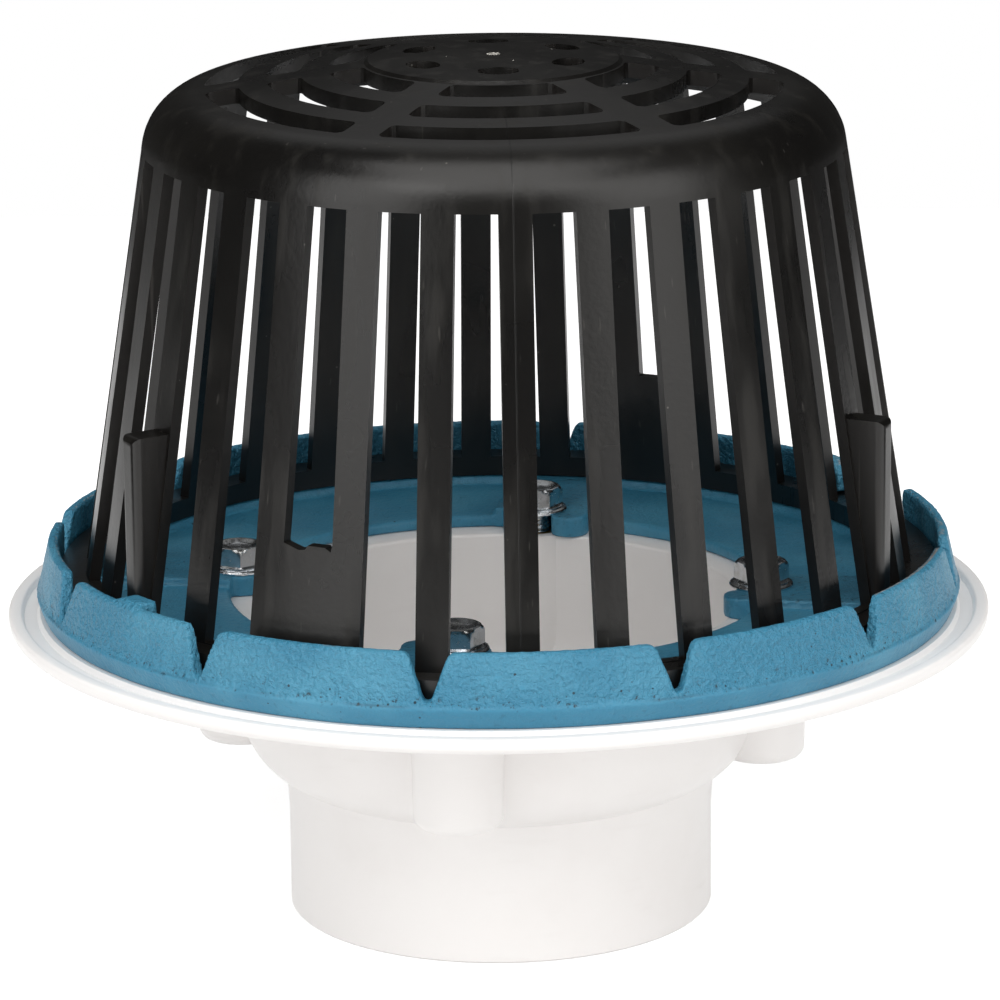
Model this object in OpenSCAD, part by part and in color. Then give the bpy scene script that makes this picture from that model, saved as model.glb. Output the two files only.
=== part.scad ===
// Flat roof drain with a moulded body, a cast clamping ring and a dome strainer.
// Millimetres, +Z up. The origin is the centre of the outlet's lower end.
// Angles are seen from above, counted from +X towards +Y.

/* [Outlet and bowl] */
// Outside diameter of the outlet spigot
outlet_d = 114.3; // [108:0.1:120]
// Inside diameter of the outlet
outlet_bore_d = 102.3; // [96:0.1:104]
// Straight length of the spigot that goes into a pipe hub
spigot_len = 27; // [20:1:32]
// Growth of the spigot's radius between its straight length and the bowl
spigot_draft = 0.75; // [0:0.05:1.2]
// Height of the seat that carries the clamping ring
seat_z = 84.3; // [80:0.1:95]
// Inside diameter of the bowl
bowl_d = 129; // [124:0.5:132]
// Wall of the bowl
bowl_wall = 5.5; // [4.5:0.1:6.5]
// Radius of the bowl's outer bottom curve
bowl_round_r = 20; // [15:0.5:22]
// Depth of the bowl from the seat to the middle of its bottom curve
bowl_depth = 28; // [24:0.5:32]

/* [Body flange] */
// Outside diameter of the flange
flange_d = 262.8; // [258:0.2:272]
// Thickness of the flange under the seat
flange_t = 4; // [3:0.1:6]
// Width of the raised lip
lip_w = 4; // [3:0.1:6]
// Width of the channel between the seat and the lip
channel_w = 3.6; // [2.5:0.1:4.5]
// Depth of that channel
channel_depth = 1.4; // [0.6:0.1:2]
// Height of the lip over the channel floor
lip_h = 1.6; // [1:0.1:3]
// Edge round of the flange and the fillet under it
flange_edge_r = 2.4; // [1:0.1:2.6]

/* [Bolts and inserts] */
// Bolt circle diameter
bolt_circle_d = 142; // [138:0.5:146]
// Angle of the right-hand bolt
bolt_phase = -8.8; // [-12:0.1:-6]
// Thread diameter of the bolts
bolt_d = 7.94; // [6:0.02:8]
// Length of the bolts under the head
bolt_len = 31.7; // [28:0.1:34]
// Width across the flats of the hexagon
bolt_af = 12.7; // [11:0.1:13]
// Diameter of the washer face under the hexagon
bolt_washer_d = 17.2; // [16:0.1:18]
// Thickness of the washer face
bolt_washer_t = 1.5; // [1:0.1:2]
// Height of the whole head
bolt_head_h = 7; // [5:0.1:8]
// Depth of the dish in the top of the head
bolt_dish_depth = 0.9; // [0.3:0.1:1.5]
// Outside diameter of the threaded inserts
insert_d = 12; // [10.5:0.1:12.4]
// Length of the threaded inserts
insert_len = 16; // [12:0.5:20]
// Outside diameter of a screw boss at its lower end
boss_d = 23.4; // [22:0.1:24]
// Growth of a boss's radius from its lower end to the flange
boss_draft = 0.7; // [0:0.05:1]
// Height of a boss's lower end
boss_z = 42.7; // [41:0.1:46]
// Edge round at a boss's lower end
boss_edge_r = 3; // [1:0.1:4]
// Wall of the boss on the side that bulges into the bowl
boss_inner_wall = 3.4; // [2.5:0.1:4]
// Play between bolt, insert and pocket, on the radius
thread_play = 0.05; // [0.03:0.01:0.09]

/* [Clamping ring] */
// Growth of the ring's radius from its underside to the top of its smooth band
foot_draft = 1.8; // [0.5:0.1:2.5]
// Opening of the ring between its ears
ring_opening_d = 144; // [142:0.5:150]
// Thickness of the ring's floor
ring_floor_t = 3.4; // [2.5:0.1:4.5]
// Height of the ledge and the bolt pads over the ring's underside
ledge_h = 5.7; // [4.9:0.1:6.5]
// Distance from the strainer's bore back to the edge of the ledge that carries it
ledge_back = 0.1; // [0:0.1:2]
// Height of the rim over the ring's underside
rim_h = 19.2; // [18.2:0.1:24]
// Height of the smooth band round the foot
foot_h = 5.4; // [4:0.1:5.8]
// Step from the smooth band to the inclined face
foot_step = 0.7; // [0.3:0.1:1.2]
// Lean of the rim's faces from the vertical
rim_lean = 12; // [8:0.5:14]
// Thickness of the rim at its top
rim_t = 2.8; // [2.6:0.1:4]
// Edge round at the top of the rim
rim_edge_r = 1; // [0.4:0.1:1.3]
// Number of notches round the rim
notch_count = 12; // [8:2:16]
// Angle of the first notch
notch_phase = 21.5; // [18:0.5:25]
// Width of a notch at the top, before its corners are rounded
notch_top_w = 10.6; // [8:0.1:12]
// Width of a notch at its round bottom
notch_bottom_w = 2.6; // [2:0.1:4]
// Height of a notch's bottom over the ring's underside
notch_z = 6.9; // [6:0.1:9]
// Round of the corners beside a notch
notch_corner_r = 3; // [1:0.1:4]
// Pad beside a bolt, measured from the bolt on the clockwise side
pad_cw = 15; // [13:0.5:18]
// Pad beside a bolt, measured from the bolt on the other side
pad_ccw = 12; // [10.5:0.5:16]
// Width of the open slot round a bolt
ear_slot_w = 9.5; // [9:0.1:10.4]
// Reach of the clockwise ear inwards from the bolt circle
ear_reach = 9; // [7:0.1:10]
// Radius of the other ear round the bolt
finger_r = 9; // [8:0.1:10]
// Width of a bayonet lug
lug_w = 13; // [9:0.1:14]
// Height of a lug's top over the rim
lug_rise = 1; // [0:0.1:2]
// Length of the smooth rise on a lug's clockwise side
lug_ramp = 4.5; // [3:0.1:6]
// Play between a lug and the column bosses that pass it
lug_play = 0.4; // [0.3:0.1:1]

/* [Dome strainer] */
// Height of the strainer from its foot to the centre of its crown
dome_h = 142; // [130:0.1:160]
// Gap between the strainer's foot and the ledge
seat_gap = 0.3; // [0.1:0.05:0.4]
// Play between the foot's flange and the narrowest part of the ring's rim
flange_play = 0.3; // [0.2:0.1:2]
// Width of the foot's flange, from the strainer's bore outwards
foot_flange_w = 9.7; // [8:0.1:11]
// Height of the foot's flange
foot_flange_h = 5.2; // [4:0.1:6]
// Gap under the bayonet lugs
lug_gap = 0.4; // [0.2:0.05:0.8]
// Lean of the strainer's side from the vertical
side_lean = 8.9; // [7:0.1:11]
// Height of the slots' sills over the foot's flange
sill_h = 0.3; // [0.2:0.1:2]
// Wall of the strainer's side
side_wall = 3; // [2.4:0.1:4]
// Wall of the crown
crown_wall = 4; // [3:0.1:5]
// Fall of the crown from its centre outwards, in degrees
crown_fall = 8.25; // [5:0.25:11]
// Radius of the shoulder between side and crown
shoulder_r = 16.4; // [12:0.2:20]
// Number of ribs, which is even
rib_count = 30; // [24:2:36]
// Width of a rib
rib_w = 8.4; // [7:0.1:10]
// Angle of the first rib
rib_phase = 9.2; // [8:0.1:11]
// Height of the solid band between the slots and the crown's edge
slot_top_drop = 13.4; // [10:0.2:18]

/* [Webs and columns] */
// Height of the front web, which closes a slot, over the foot's flange
web_h = 29.2; // [20:0.1:40]
// Height of the back web
back_web_h = 26.6; // [20:0.1:40]
// Angle of the front web, which moves to the nearest slot
web_angle = 243.4; // [231:0.2:255]
// Angle of the left column boss, which moves to the nearest rib
column_angle = 213.4; // [201:0.2:225]
// Width of a column boss
column_w = 7.2; // [6:0.1:8]
// Height of the column bosses over the foot's flange
column_h = 49.5; // [30:0.5:60]
// Edge round of the column bosses
column_edge_r = 2.2; // [0.5:0.1:2.4]
// Distance from a column boss's face to the side of the strainer at its foot
column_proud = 1.7; // [0.3:0.1:2]

/* [Crown grille] */
// Number of sectors in the crown
sector_count = 6; // [4:1:8]
// Angle of the middle of the first sector
sector_phase = 33.4; // [30:0.2:36]
// Width of the spokes between the sectors
spoke_w = 10; // [8:0.2:14]
// Distance from the disc's edge to the innermost arc slot
disc_margin = 1.6; // [1:0.1:4]
// Distance from the outermost arc slot to the corner between crown and side
crown_margin = 14.6; // [12:0.2:18]
// Width of the bars between the arc slots
arc_bar_w = 7.2; // [5:0.1:9]
// Number of arc slots in a sector
arc_slot_count = 3; // [1:1:3]
// Corner round of the arc slots
arc_slot_corner_r = 2.2; // [0.5:0.1:3]
// Diameter of the raised disc in the middle
disc_d = 66; // [60:0.5:67]
// Height of the disc's edge over the crown
disc_step = 0.8; // [0.3:0.1:2]
// Rise of the disc from its edge to its centre
disc_bulge = 1; // [0.5:0.1:3]
// Radius on which the disc's holes lie
disc_hole_r = 21.9; // [20:0.1:24]
// Length of a hole in the disc
disc_hole_l = 12.5; // [10:0.1:14]
// Width of a hole in the disc
disc_hole_w = 8; // [5:0.1:9]

/* [Hidden] */
$fn = 96;
// Overlap of cutting bodies past the faces that they cut
cut = 1;

outlet_r = outlet_d / 2;
outlet_bore_r = outlet_bore_d / 2;
bowl_r = bowl_d / 2;
bowl_outer_r = bowl_r + bowl_wall;
bowl_mid_z = seat_z - bowl_depth;
flange_z = seat_z - flange_t;
flange_r = flange_d / 2;
bolt_circle_r = bolt_circle_d / 2;
bolt_r = bolt_d / 2;
insert_r = insert_d / 2;
boss_r = boss_d / 2;

inner_lip_r = flange_r - lip_w;

// the ring fills the seat up to the body's channel
ring_z = seat_z;
ring_r = inner_lip_r - channel_w;
ring_foot_r = ring_r - foot_draft;
ledge_z = ring_z + ledge_h;
rim_z = ring_z + rim_h;
rim_outer_r = ring_r - foot_step - (rim_h - foot_h - foot_step) * tan(rim_lean);
rim_inner_r = rim_outer_r - rim_t;

// the strainer's foot fills the ring's rim
foot_flange_r = rim_inner_r - flange_play;
foot_bore_r = foot_flange_r - foot_flange_w;
ledge_r = foot_bore_r + ledge_back;
foot_z = ledge_z + seat_gap;
foot_top_z = foot_z + foot_flange_h;
sill_z = foot_top_z + sill_h;
lug_z = foot_top_z + lug_gap;
// Radius of the strainer's side at the height of its foot
foot_outer_r = foot_bore_r + side_wall / cos(side_lean) + foot_flange_h * tan(side_lean);
column_r = foot_outer_r + column_proud;
lug_r = column_r + lug_play;
crown_z = foot_z + dome_h;
rib_step = 360 / rib_count;
column_ribs = [for (turn = [0, 120, 240]) round((column_angle + turn - rib_phase) / rib_step)];
web_slots = [for (turn = [0, 180])
    round((web_angle + turn - rib_phase) / rib_step - 0.5) % rib_count];

bolt_turns = [-61, -63, -60, -84];
function bolt_angle(i) = bolt_phase + 90 * (i - 1);

// Points along an arc, for a profile's round edges
function arc(centre, r, from, to, steps = 5) =
    [for (i = [0:steps]) let (a = from + (to - from) * i / steps) centre + r * [cos(a), sin(a)]];

// ---------- drain body ----------

// Outer outline of the body's half section
module body_section() {
    bowl_centre = [bowl_outer_r - bowl_round_r, bowl_mid_z];
    draft_r = outlet_r + spigot_draft;
    start = -acos((draft_r - bowl_centre[0]) / bowl_round_r);
    lip_z = seat_z - channel_depth + lip_h;
    channel_z = seat_z - channel_depth;
    polygon(concat(
        [[0, 0], [outlet_r - 0.6, 0], [outlet_r, 0.6], [outlet_r, spigot_len]],
        arc(bowl_centre, bowl_round_r, start, 0, 12),
        arc([bowl_outer_r + flange_edge_r, flange_z - flange_edge_r], flange_edge_r, 180, 90),
        arc([flange_r - flange_edge_r, flange_z + flange_edge_r], flange_edge_r, -90, 0),
        arc([flange_r - 1, lip_z - 1], 1, 0, 90),
        arc([inner_lip_r + 1, lip_z - 1], 1, 90, 170),
        [[inner_lip_r - 0.2, channel_z], [inner_lip_r - channel_w, channel_z]],
        [[inner_lip_r - channel_w - 0.8, seat_z], [0, seat_z]]
    ));
}

// Outline of the bowl and the outlet's bore
module bowl_section() {
    inner_round_r = bowl_round_r - bowl_wall;
    bowl_centre = [bowl_r - inner_round_r, bowl_mid_z];
    edge_r = outlet_bore_r + 2;
    edge = -acos((edge_r - bowl_centre[0]) / inner_round_r);
    edge_z = bowl_mid_z + inner_round_r * sin(edge);
    polygon(concat(
        [[0, -cut], [outlet_bore_r, -cut], [outlet_bore_r, edge_z - 2]],
        arc(bowl_centre, inner_round_r, edge, 0, 10),
        arc([bowl_r + 1, seat_z - 1], 1, 180, 90),
        [[bowl_r + 1, seat_z + cut], [0, seat_z + cut]]
    ));
}

module screw_boss() {
    translate([0, 0, boss_z])
        rotate_extrude()
            polygon(concat(
                [[0, 0]],
                arc([boss_r - boss_edge_r, boss_edge_r], boss_edge_r, -90, 0),
                [[boss_r + boss_draft, flange_z + 0.5 * flange_t - boss_z]],
                [[0, flange_z + 0.5 * flange_t - boss_z]]
            ));
}

// Pocket of an insert, with the free hole below it for the end of the bolt
module insert_pocket() {
    translate([0, 0, seat_z - insert_len])
        cylinder(r = insert_r + thread_play, h = insert_len + cut);
    translate([0, 0, ledge_z - bolt_len - 2])
        cylinder(r = bolt_r + 0.3, h = bolt_len);
}

module drain_body() {
    color("white")
        difference() {
            union() {
                rotate_extrude() body_section();
                for (i = [0:3])
                    at_bolt(i) screw_boss();
            }
            difference() {
                rotate_extrude() bowl_section();
                for (i = [0:3])
                    at_bolt(i)
                        translate([0, 0, boss_z - 10])
                            cylinder(r = insert_r + boss_inner_wall, h = seat_z - boss_z + 20);
            }
            for (i = [0:3])
                at_bolt(i) insert_pocket();
        }
}

// ---------- bolts and inserts ----------

module at_bolt(i) {
    rotate(bolt_angle(i))
        translate([bolt_circle_r, 0, 0])
            children();
}

module bolt(i) {
    corner_r = bolt_af / 2 / cos(30);
    shank_end = 1;
    color("silver")
        at_bolt(i)
            rotate(bolt_turns[i] - bolt_angle(i))
                translate([0, 0, ledge_z])
                    difference() {
                        union() {
                            // washer face with a sloping top
                            cylinder(d = bolt_washer_d, h = bolt_washer_t * 0.55);
                            translate([0, 0, bolt_washer_t * 0.55])
                                cylinder(d1 = bolt_washer_d, d2 = bolt_washer_d - 3, h = bolt_washer_t * 0.45);
                            // hexagon with its upper corners turned off
                            intersection() {
                                cylinder(r = corner_r, h = bolt_head_h, $fn = 6);
                                cylinder(r1 = corner_r + bolt_head_h - 0.9, r2 = corner_r - 0.9, h = bolt_head_h);
                            }
                            translate([0, 0, shank_end - bolt_len])
                                cylinder(r = bolt_r, h = bolt_len - shank_end + 0.5);
                            translate([0, 0, -bolt_len])
                                cylinder(r1 = bolt_r - shank_end, r2 = bolt_r, h = shank_end);
                        }
                        // dish in the top
                        translate([0, 0, bolt_head_h - bolt_dish_depth])
                            cylinder(r1 = bolt_af / 2 - 2.2, r2 = bolt_af / 2 - 1.2, h = bolt_dish_depth + 0.001);
                    }
}

module insert(i) {
    groove_w = insert_len / 6;
    color("gold")
        at_bolt(i)
            translate([0, 0, seat_z - insert_len])
                difference() {
                    cylinder(r = insert_r, h = insert_len);
                    translate([0, 0, -cut])
                        cylinder(r = bolt_r + thread_play, h = insert_len + 2 * cut);
                    // two grooves round the outside keep it in the plastic
                    for (z = [groove_w, insert_len - 2 * groove_w])
                        translate([0, 0, z])
                            difference() {
                                cylinder(r = insert_r + cut, h = groove_w);
                                translate([0, 0, -cut])
                                    cylinder(r = insert_r - 0.8, h = groove_w + 2 * cut);
                            }
                }
}

// ---------- clamping ring ----------

module ring_section() {
    floor_z = ring_z + ring_floor_t;
    lean = tan(rim_lean);
    rim_foot_r = rim_inner_r + (rim_h - ledge_h) * lean * 0.45;
    polygon(concat(
        arc([ring_opening_d / 2 + 1, ring_z + 1], 1, 180, 270, 3),
        arc([ring_foot_r - 0.8, ring_z + 0.8], 0.8, -90, 0, 3),
        [[ring_r, ring_z + foot_h], [ring_r - foot_step, ring_z + foot_h + foot_step]],
        arc([rim_outer_r - rim_edge_r, rim_z - rim_edge_r], rim_edge_r, rim_lean, 90, 4),
        arc([rim_inner_r + rim_edge_r, rim_z - rim_edge_r], rim_edge_r, 90, 175, 4),
        arc([rim_foot_r - 1, ledge_z + 1], 1, 0, -90, 3),
        arc([ledge_r + 0.8, ledge_z - 0.8], 0.8, 90, 165, 3),
        arc([ledge_r - 1.2, floor_z + 0.8], 0.8, -15, -90, 3),
        arc([ring_opening_d / 2 + 1, floor_z - 1], 1, 90, 180, 3)
    ));
}

// Plan of a bolt pad with its two ears, in a frame whose origin is the bolt
module pad_plan() {
    ledge_x = ledge_r + 1 - bolt_circle_r;
    lobe_w = pad_cw - ear_slot_w / 2;
    difference() {
        union() {
            translate([0, -pad_cw])
                square([ledge_x, pad_cw + pad_ccw]);
            // clockwise ear with a full round tip
            translate([lobe_w / 2 - ear_reach, -pad_cw + lobe_w / 2]) circle(d = lobe_w);
            translate([lobe_w / 2 - ear_reach, -pad_cw]) square([ear_reach, lobe_w]);
            // the other ear follows the bolt's washer
            intersection() {
                circle(r = finger_r);
                translate([-finger_r, 0]) square([finger_r + 1, finger_r]);
            }
        }
        circle(d = ear_slot_w);
        translate([-ear_reach - cut, -ear_slot_w / 2])
            square([ear_reach + cut, ear_slot_w]);
    }
}

// Notch in the rim, drawn across the ring and with rounded corners at the top
module notch_plan() {
    bottom_r = notch_bottom_w / 2;
    depth = rim_h - notch_z;
    side = atan((notch_top_w / 2 - bottom_r) / (depth - bottom_r));
    corner_x = notch_top_w / 2 + notch_corner_r * tan((90 - side) / 2);
    corner_z = rim_h - notch_corner_r;
    low = [bottom_r * cos(side), notch_z + bottom_r - bottom_r * sin(side)];
    high = [corner_x - notch_corner_r * cos(side), corner_z + notch_corner_r * sin(side)];
    half = [low, high, [corner_x, rim_h], [corner_x, rim_h + cut]];
    translate([0, notch_z + bottom_r]) circle(r = bottom_r);
    difference() {
        polygon(concat(half, [for (i = [3:-1:0]) [-half[i][0], half[i][1]]]));
        for (side_x = [-1, 1])
            translate([side_x * corner_x, corner_z]) circle(r = notch_corner_r);
    }
}

// Lug that reaches inwards from the rim, over the strainer's flange. Its clockwise side
// rises smoothly from the rim, and its other side is upright.
module bayonet_lug() {
    half_w = lug_w / 2;
    top_z = rim_z + lug_rise;
    corner_r = 1.4;
    back_r = rim_inner_r + rim_t / 2;
    outline = concat(
        [[-half_w, lug_z], [half_w, lug_z]],
        arc([half_w - corner_r, top_z - corner_r], corner_r, 0, 90, 3),
        [[lug_ramp - half_w, top_z], [lug_ramp / 2 - half_w, top_z - 0.8], [-half_w, rim_z - 2.5]]
    );
    difference() {
        translate([lug_r - 2, 0, 0])
            rotate([90, 0, 90])
                linear_extrude(height = back_r + 2 - lug_r) polygon(outline);
        translate([0, 0, lug_z - cut])
            cylinder(r = lug_r, h = top_z - lug_z + 2 * cut);
    }
}

module clamp_ring() {
    color("steelblue")
        union() {
            difference() {
                rotate_extrude() ring_section();
                for (i = [0:notch_count - 1])
                    rotate(notch_phase + i * 360 / notch_count)
                        translate([ledge_r + 2, 0, ring_z])
                            rotate([90, 0, 90])
                                linear_extrude(height = ring_r - ledge_r)
                                    notch_plan();
                for (i = [0:3])
                    at_bolt(i)
                        translate([0, 0, ring_z - cut])
                            cylinder(d = ear_slot_w, h = ledge_h + 2 * cut);
            }
            for (i = [0:3])
                at_bolt(i)
                    translate([0, 0, ring_z])
                        linear_extrude(height = ledge_h) pad_plan();
            for (side = [0, 180])
                rotate(notch_phase + 180 / notch_count + side) bayonet_lug();
        }
}

// ---------- dome strainer ----------

// The side and the crown are two lines of the half section, which meet at this point
crown_corner = let (
    side_t = tan(side_lean),
    fall_t = tan(crown_fall),
    edge_z = crown_z - disc_bulge - disc_step,
    z = (edge_z - fall_t * (foot_outer_r + foot_z * side_t - disc_d / 2)) / (1 - fall_t * side_t)
) [foot_outer_r - (z - foot_z) * side_t, z];

// A point at given distances inside the side's line and the crown's line
function inset(side, crown) = let (k = cos(side_lean + crown_fall))
    crown_corner - [
        side * cos(crown_fall) - crown * sin(side_lean),
        crown * cos(side_lean) - side * sin(crown_fall),
    ] / k;

// Radius of the side's line at a height
function side_r(z) = foot_outer_r - (z - foot_z) * tan(side_lean);
// Height of the crown's line at a radius
function crown_line_z(r) = crown_corner[1] + (crown_corner[0] - r) * tan(crown_fall);
slot_top_z = crown_corner[1] - slot_top_drop;

// the arc slots share the crown between the disc and the crown's corner
arc_slot_r = disc_d / 2 + disc_margin;
arc_span = crown_corner[0] - crown_margin - arc_slot_r;
arc_slot_w = (arc_span - (arc_slot_count - 1) * arc_bar_w) / arc_slot_count;

// Half section of the solid under a side line and a crown line with a round shoulder
module bell_section(side_in, crown_in, round_r, low_z) {
    drop = crown_in / cos(crown_fall);
    low_r = side_r(low_z) - side_in / cos(side_lean);
    rim_r = disc_d / 2 + 1;
    polygon(concat(
        [[0, low_z], [low_r, low_z]],
        arc(inset(side_in + round_r, crown_in + round_r), round_r, side_lean, 90 - crown_fall, 16),
        [[rim_r, crown_line_z(rim_r) - drop], [0, crown_line_z(rim_r) - drop]]
    ));
}

module disc_section() {
    edge_z = crown_line_z(disc_d / 2);
    polygon([
        [0, edge_z - 2],
        [disc_d / 2 + 1, edge_z - 2],
        [disc_d / 2 + 1, crown_line_z(disc_d / 2 + 1)],
        [disc_d / 2, edge_z + disc_step * 0.8],
        [disc_d / 2 - 3, edge_z + disc_step],
        [disc_d / 3, edge_z + disc_step + disc_bulge * 0.5],
        [disc_d / 8, edge_z + disc_step + disc_bulge],
        [0, edge_z + disc_step + disc_bulge],
    ]);
}

module dome_shell() {
    rotate_extrude()
        difference() {
            union() {
                bell_section(0, 0, shoulder_r, foot_z);
                disc_section();
                translate([foot_bore_r - 1, foot_z])
                    square([foot_flange_r - foot_bore_r + 1, foot_flange_h]);
            }
            bell_section(side_wall, crown_wall, shoulder_r - side_wall, foot_top_z);
            translate([0, foot_z - cut])
                square([foot_bore_r, foot_flange_h + cut]);
        }
}

// Slots between the ribs, whose side faces are parallel to the ribs' middle planes
module side_slots() {
    for (i = [0:rib_count - 1]) {
        front = i == web_slots[0];
        back = i == web_slots[1];
        low_z = front ? foot_top_z + web_h : back ? foot_top_z + back_web_h : sill_z;
        rotate(rib_phase + (i + 0.5) * rib_step) {
            translate([0, 0, low_z])
                linear_extrude(height = slot_top_z - low_z) slot_plan();
            if (front)
                translate([foot_bore_r / 2, 0, low_z])
                    rotate([90, 0, 90])
                        linear_extrude(height = foot_flange_r / 2) break_plan();
        }
    }
}

// What is missing below the front web's top edge where it broke, drawn across the slot
module break_plan() {
    polygon([
        [-6.6, 0.5], [-6.4, -0.1], [-4.8, -0.6], [-2.4, -1.3], [-0.6, -1],
        [0.3, 0.5], [0.4, 1], [5, 1], [5.1, -0.2], [6.6, -1], [6.7, 0.5],
        [6.7, 1.5], [-6.6, 1.5],
    ]);
}

module slot_plan() {
    apex = rib_w / 2 / sin(rib_step / 2);
    reach = foot_flange_r - apex + 5;
    polygon([
        [apex, 0],
        [apex + reach, -reach * tan(rib_step / 2)],
        [apex + reach, reach * tan(rib_step / 2)],
    ]);
}

// Notch in the foot's flange that lets a bayonet lug through
module lug_notch() {
    notch_w = lug_w + 3;
    difference() {
        translate([foot_bore_r, -notch_w / 2, foot_z - cut])
            cube([foot_flange_w + 5, notch_w, foot_flange_h + 2 * cut]);
        translate([0, 0, foot_z - 2 * cut])
            cylinder(r = column_r, h = foot_flange_h + 4 * cut);
    }
}

// Upright boss on a rib, whose outer face is vertical
module column_boss() {
    depth = column_r - side_r(foot_top_z + column_h) + side_wall;
    height = foot_flange_h + column_h;
    round_x = depth - column_edge_r;
    intersection() {
        translate([column_r - depth, 0, foot_z])
            linear_extrude(height = height)
                union() {
                    translate([0, -column_w / 2]) square([round_x, column_w]);
                    for (y = [-1, 1] * (column_w / 2 - column_edge_r))
                        translate([round_x, y]) circle(r = column_edge_r);
                    translate([0, column_edge_r - column_w / 2])
                        square([depth, column_w - 2 * column_edge_r]);
                }
        // round over the top edge
        translate([0, column_w, foot_z])
            rotate([90, 0, 0])
                linear_extrude(height = 2 * column_w)
                    union() {
                        square([column_r - column_edge_r, height]);
                        square([column_r, height - column_edge_r]);
                        translate([column_r - column_edge_r, height - column_edge_r])
                            circle(r = column_edge_r);
                    }
    }
}

// What the columns must not fill: the space inside the strainer's wall
module dome_core() {
    rotate_extrude()
        bell_section(side_wall, crown_wall, shoulder_r - side_wall, foot_z - cut);
}

// Slot between two arcs, whose ends run parallel to the spokes
module arc_slot(inner_r) {
    outer_r = inner_r + arc_slot_w;
    reach = outer_r + 1;
    half_angle = 180 / sector_count;
    difference() {
        intersection() {
            difference() {
                circle(r = outer_r);
                circle(r = inner_r);
            }
            translate([spoke_w / 2 / sin(half_angle), 0])
                polygon([[0, 0], reach * [1, -tan(half_angle)], reach * [1, tan(half_angle)]]);
        }
        for (flip = [0, 1])
            mirror([0, flip]) {
                slot_corner(inner_r, inner_r + arc_slot_corner_r, 180);
                slot_corner(outer_r, outer_r - arc_slot_corner_r, 0);
            }
    }
}

// Material left in a corner of an arc slot, so that the corner is round. edge_r is the
// radius of the slot's edge, centre_r the radius on which the round's centre lies.
module slot_corner(edge_r, centre_r, side) {
    half_angle = 180 / sector_count;
    centre_a = half_angle - asin((spoke_w / 2 + arc_slot_corner_r) / centre_r);
    corner_a = half_angle - asin(spoke_w / 2 / edge_r);
    centre = centre_r * [cos(centre_a), sin(centre_a)];
    corner = edge_r * [cos(corner_a), sin(corner_a)];
    // the round is drawn about its circle, so that its ends lie past the slot's edges
    round_r = arc_slot_corner_r * 1.04;
    polygon(concat(
        [corner + (corner - centre) * 0.6],
        arc(centre, round_r, 90 + half_angle, centre_a + side, 3)
    ));
}

module crown_holes() {
    low_z = crown_z - 60;
    translate([0, 0, low_z])
        for (i = [0:sector_count - 1])
            rotate(sector_phase + i * 360 / sector_count) {
                linear_extrude(height = 60 + cut)
                    for (k = [0:arc_slot_count - 1])
                        arc_slot(arc_slot_r + k * (arc_slot_w + arc_bar_w));
                linear_extrude(height = 60 + cut)
                    translate([disc_hole_r, 0]) disc_hole();
            }
}

// Oval hole between two arcs
module disc_hole() {
    arc_r = (pow(disc_hole_l / 2, 2) + pow(disc_hole_w / 2, 2)) / disc_hole_w;
    intersection() {
        translate([arc_r - disc_hole_w / 2, 0]) circle(r = arc_r);
        translate([disc_hole_w / 2 - arc_r, 0]) circle(r = arc_r);
        square([disc_hole_w * 2, disc_hole_l - 2], center = true);
    }
}

module dome_strainer() {
    color("dimgray")
        difference() {
            union() {
                difference() {
                    dome_shell();
                    side_slots();
                }
                difference() {
                    for (k = column_ribs)
                        rotate(rib_phase + k * rib_step) column_boss();
                    dome_core();
                }
            }
            crown_holes();
            for (i = web_slots)
                rotate(rib_phase + (i + 0.5) * rib_step) lug_notch();
        }
}

drain_body();
clamp_ring();
dome_strainer();
bolt(0);  // bolt_front
bolt(1);  // bolt_right
bolt(2);  // bolt_back
bolt(3);  // bolt_left
insert(0);  // insert_front
insert(1);  // insert_right
insert(2);  // insert_back
insert(3);  // insert_left
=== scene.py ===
"""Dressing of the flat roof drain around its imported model.

Each sub-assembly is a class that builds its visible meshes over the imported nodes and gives
them a finish.  Lengths are in metres, +Z is up, and the origin is the middle of the outlet's
lower end.  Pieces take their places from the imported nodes.
"""

from __future__ import annotations

import logging
import math
from dataclasses import dataclass, field
from enum import Enum
from functools import cache

import bmesh
import bpy
import numpy as np
from mathutils import Matrix, Vector


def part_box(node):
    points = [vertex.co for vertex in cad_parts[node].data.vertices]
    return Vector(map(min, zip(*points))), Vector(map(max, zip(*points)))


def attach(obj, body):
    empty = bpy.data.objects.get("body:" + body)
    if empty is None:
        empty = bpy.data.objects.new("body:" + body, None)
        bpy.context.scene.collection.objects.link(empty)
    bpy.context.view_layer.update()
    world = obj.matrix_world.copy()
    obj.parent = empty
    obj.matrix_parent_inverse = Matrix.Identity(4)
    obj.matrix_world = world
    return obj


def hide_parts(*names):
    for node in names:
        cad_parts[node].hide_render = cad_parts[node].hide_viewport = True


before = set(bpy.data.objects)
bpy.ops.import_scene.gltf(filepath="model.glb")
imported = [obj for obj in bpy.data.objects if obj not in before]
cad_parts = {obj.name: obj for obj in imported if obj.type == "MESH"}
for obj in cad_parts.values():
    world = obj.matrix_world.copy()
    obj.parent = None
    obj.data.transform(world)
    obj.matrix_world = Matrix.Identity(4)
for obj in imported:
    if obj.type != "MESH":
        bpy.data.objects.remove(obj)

log = logging.getLogger("roof_drain")

MM = 0.001
JOIN_DISTANCE = 0.002 * MM
SLIVER = 0.001 * MM
WARM_WHITE = (1.0, 0.985, 0.965)
Socket = bpy.types.NodeSocket
Value = "Socket | float"


class Body(Enum):
    """The two bodies that the model's one joint parts."""

    BASE = "base"
    DOME = "dome"


class Slot(Enum):
    """The record's material slots."""

    VINYL = "body_plastic"
    IRON = "ring_cast_iron"
    STRAINER = "dome_plastic"
    ZINC = "zinc_steel"
    BRASS = "insert_brass"


# ---------- node trees ----------


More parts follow.
